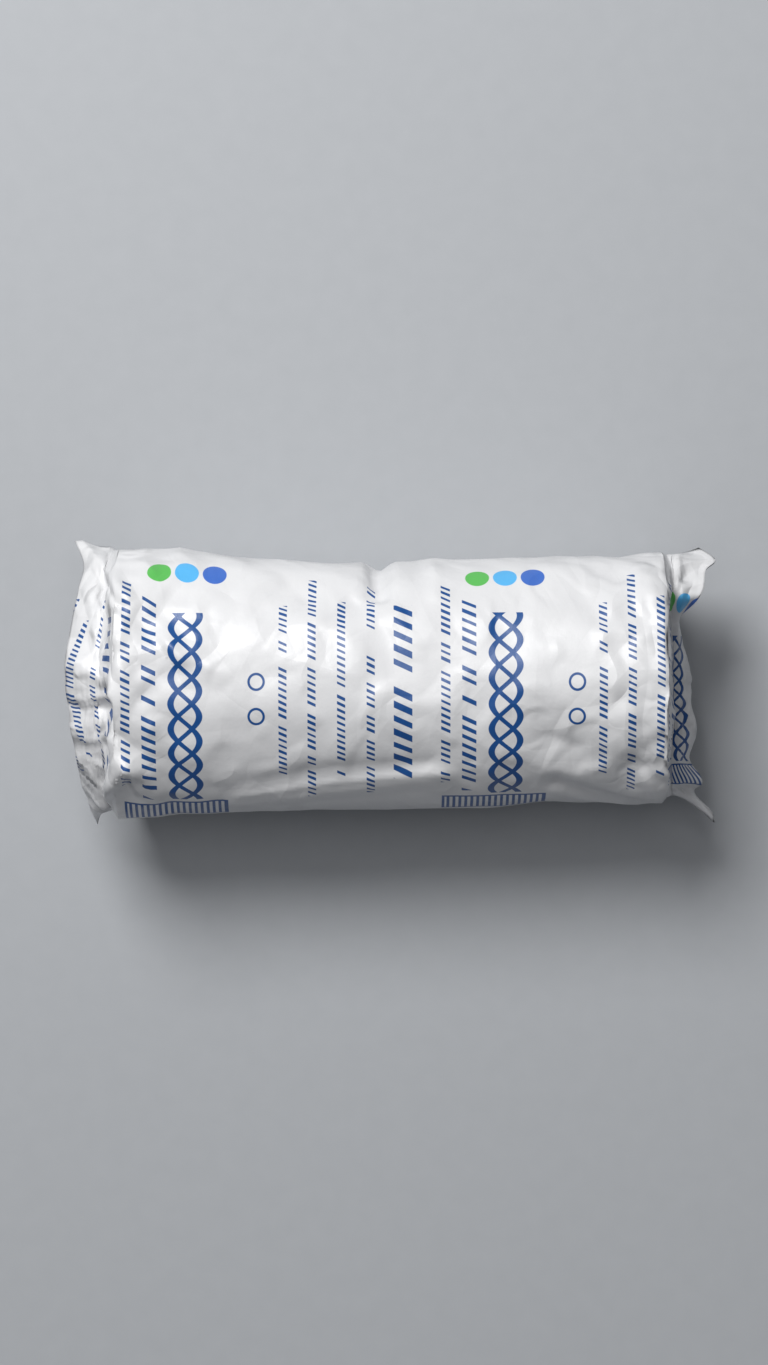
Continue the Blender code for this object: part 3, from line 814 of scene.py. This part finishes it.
# They deepen towards the ends, between these places along
CRINKLED_FROM, CRINKLED_TO = 34.0, 52.0
CRINKLED_ON_ROLL, CRINKLED_AT_ENDS = 0.18, 0.50

# %% The printed film
film_finish = bpy.data.materials.new("printed film")
tree, shader = bare_finish(film_finish)
web = shader_node(tree, "ShaderNodeUVMap", {"uv_map": "web"})
along = web.node("ShaderNodeSeparateXYZ", None, {0: web}, 0) * 100
round_it = web.node("ShaderNodeSeparateXYZ", None, {0: web}, 1) * 100
# The place in the repeat runs from a little below 0, so that a shape at its start isn't cut in two
spot = (along - FIRST + REPEAT / 12) % REPEAT - REPEAT / 12

broad = web.node("ShaderNodeTexNoise", None, {"Vector": web, "Scale": 4.0, "Detail": 3.0})
colour = broad.node("ShaderNodeMix", {"data_type": "RGBA"}, {
    0: broad, 6: (0.69, 0.69, 0.70, 1), 7: (0.80, 0.80, 0.805, 1)}, 2)
for _, place, width, start, stop, pitch, fill in STROKES:
    step = (round_it + spot * SLANT) / pitch
    stroke = step.maths("FLOOR", step) + place
    chance = web.node("ShaderNodeTexWhiteNoise", {"noise_dimensions": "1D"}, {"W": stroke})
    shown = chance.maths("LESS_THAN", chance, DRAWN_SHARE)
    strokes = ((step % 1) * pitch).within(pitch / 2, (chance * 0.5 + 0.75) * (pitch * fill / 2))
    reach = round_it.within((start + stop) / 2, (start - stop) / 2)
    colour = (spot.within(place, width / 2) * strokes * shown * reach).over(colour, DARK)
for strand in range(3):
    turn = (round_it / PLAIT_PITCH + strand / 3) * (2 * math.pi)
    swing = spot - turn.maths("SINE", turn) * PLAIT_SWING
    strand_shape = swing.within(PLAIT_PLACE, PLAIT_STRAND) * round_it.within(PLAIT_ROUND, PLAIT_REACH)
    colour = strand_shape.over(colour, DARK)
for _, place, height, size, hole, ink in DISCS:
    away = (spot - place) * (spot - place) + (round_it - height) * (round_it - height)
    middle, half = ((size + hole) / 2, (size - hole) / 2) if hole else (0.0, size)
    disc = away.maths("SQRT", away).within(middle, half)
    colour = disc.over(colour, ink)
block = spot.within(BLOCK_PLACE, BLOCK_HALF[0]) * round_it.within(BLOCK_ROUND, BLOCK_HALF[1])
inside = spot.within(BLOCK_PLACE, INSIDE_HALF[0]) * round_it.within(BLOCK_ROUND, INSIDE_HALF[1])
bars = ((spot / BAR_PITCH % 1) * BAR_PITCH).within(BAR_PITCH / 2, BAR_HALF)
colour = (block * (1 - inside * (1 - bars))).over(colour, DARK)

worn = web.node("ShaderNodeTexNoise", None, {"Vector": web, "Scale": 60.0, "Detail": 6.0, "Roughness": 0.62})
outward_place = abs(along)
ends = outward_place.node("ShaderNodeMapRange", {"interpolation_type": "SMOOTHSTEP"}, {
    0: outward_place, 1: CRINKLED_FROM, 2: CRINKLED_TO, 3: CRINKLED_ON_ROLL, 4: CRINKLED_AT_ENDS})
openness = web.node("ShaderNodeAttribute", {"attribute_name": "open film"}, None, 2)
relief = worn * 0.05
for number, (slant, spacing, steep) in enumerate(CRINKLES):
    lean = math.radians(slant)
    drift = web.node("ShaderNodeTexNoise", None, {"Vector": web, "Scale": 3.0 + number, "Detail": 1.0})
    wave = (along * math.cos(lean) + round_it * math.sin(lean)) / spacing + drift * 2.2
    patch = web.node("ShaderNodeTexNoise", None, {"Vector": web, "Scale": 7.0 + 1.3 * number, "Detail": 0.0})
    shown = patch.node(
        "ShaderNodeMapRange", {"interpolation_type": "SMOOTHSTEP"}, {0: patch, 1: 0.42, 2: 0.62})
    relief = relief + abs(wave % 1 - 0.5) * (spacing * steep) * shown * ends
tree.links.new(colour.socket, shader.inputs["Base Color"])
tree.links.new((worn * 0.16 + 0.34).socket, shader.inputs["Roughness"])
tree.links.new(bump(relief * openness, 1.0, 0.001).socket, shader.inputs["Normal"])
shader.inputs["IOR"].default_value = 1.50
shader.inputs["Coat Weight"].default_value = 0.10
shader.inputs["Coat Roughness"].default_value = 0.14
shader.inputs["Subsurface Weight"].default_value = 0.05
shader.inputs["Subsurface Radius"].default_value = (0.002, 0.002, 0.002)
wrapper.data.materials.append(film_finish)

# %% [markdown]
# # Cotton gauze
# Gauze is an open plain weave of soft cotton threads. On the roll the warp runs round it and the weft lies
# along it, so the threads are drawn from the place along the axis and the distance round it.

# %% The gauze weave
tree, shader = bare_finish(gauze_finish)
place_on = shader_node(tree, "ShaderNodeTexCoord", None, None, 3)
parts = [place_on.node("ShaderNodeSeparateXYZ", None, {0: place_on}, n) for n in range(3)]
turn = parts[1].maths("ARCTAN2", parts[1], parts[2] - AXIS_HEIGHT) * (ROLL_RADIUS * 1000)
THREADS_PER_MM = 1.5
along_roll = parts[0] * (1000 * THREADS_PER_MM) * math.pi
round_roll = turn * THREADS_PER_MM * math.pi
weft = along_roll.maths("SINE", along_roll)
warp = round_roll.maths("SINE", round_roll)
fibres = place_on.node("ShaderNodeTexNoise", None, {"Vector": place_on, "Scale": 900.0, "Detail": 5.0})
weave = abs(weft).either(abs(warp)) * 0.8 + fibres * 0.35
# The gaps between the threads are coloured darker, as painted shade of the layers below; the fibre noise
# gives the cotton's own uneven tone.
gauze_colour_with_gap_shade = weave.node("ShaderNodeMix", {"data_type": "RGBA"}, {
    0: weave, 6: (0.60, 0.58, 0.52, 1), 7: (0.90, 0.89, 0.85, 1)}, 2)
tree.links.new(gauze_colour_with_gap_shade.socket, shader.inputs["Base Color"])
tree.links.new((fibres * 0.2 + 0.75).socket, shader.inputs["Roughness"])
tree.links.new(bump(weave, 0.6, 0.0003).socket, shader.inputs["Normal"])
shader.inputs["Sheen Weight"].default_value = 0.3

# %% [markdown]
# # Joining the frame
# Both pieces stand for a solid and ride on the one body, and the solid parts they stand for are hidden. Both
# are sheets that have been shaped without stretching.

# %% Attach each piece and hide its solid part
for piece, node, slot in ((wrapper, "film_wrapper", "printed_film"), (gauze, "gauze_roll", "cotton_gauze")):
    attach(piece, "root")
    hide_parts(node)

# %% [markdown]
# # Floor, light and camera
# The bandage lies on a plain pale floor. A large soft light stands behind it to the left, which throws a
# short soft shadow towards the viewer, and the camera looks straight down on it.

# %% The floor
bpy.ops.mesh.primitive_plane_add(size=4.0, location=(0, 0, 0))
floor = bpy.context.object
floor.name = "floor"
floor_finish = bpy.data.materials.new("pale floor")
tree, shader = bare_finish(floor_finish)
where = shader_node(tree, "ShaderNodeTexCoord", None, None, 3)
grain = where.node("ShaderNodeTexNoise", None, {"Vector": where, "Scale": 240.0, "Detail": 4.0})
pale = grain.node("ShaderNodeMix", {"data_type": "RGBA"}, {
    0: grain, 6: (0.405, 0.42, 0.44, 1), 7: (0.435, 0.45, 0.47, 1)}, 2)
tree.links.new(pale.socket, shader.inputs["Base Color"])
shader.inputs["Roughness"].default_value = 0.6
floor.data.materials.append(floor_finish)


# %% Lights
def soft_light(name, place, aim, size, power):
    lamp = bpy.data.lights.new(name, "AREA")
    lamp.shape, lamp.size, lamp.energy = "DISK", size, power
    thing = bpy.data.objects.new(name, lamp)
    bpy.context.scene.collection.objects.link(thing)
    thing.location = place
    thing.rotation_euler = (Vector(aim) - Vector(place)).to_track_quat("-Z", "Y").to_euler()
    return thing


soft_light("window light", (-0.26, 0.48, 0.70), (0, 0, 0.02), 0.42, 7.3)
soft_light("ceiling light", (-0.05, 0.15, 1.10), (0, 0, 0), 0.6, 1.7)
world = bpy.data.worlds.new("room")
world.use_nodes = True
world.node_tree.nodes["Background"].inputs[0].default_value = (0.90, 0.93, 1.0, 1)
world.node_tree.nodes["Background"].inputs[1].default_value = 0.12
bpy.context.scene.world = world
bpy.context.scene.view_settings.view_transform = "Standard"

# %% Camera
# The picture is SEEN_HEIGHT tall at the height where the bandage is widest
CAMERA_HEIGHT, SEEN_HEIGHT, WIDEST = 1.10, 0.2575, 0.022
eye = bpy.data.cameras.new("camera")
eye.sensor_fit = "VERTICAL"
eye.sensor_height = 36.0
eye.lens = eye.sensor_height * (CAMERA_HEIGHT - WIDEST) / SEEN_HEIGHT
camera = bpy.data.objects.new("camera", eye)
bpy.context.scene.collection.objects.link(camera)
camera.location = (-0.00085, 0.0002, CAMERA_HEIGHT)
bpy.context.scene.camera = camera
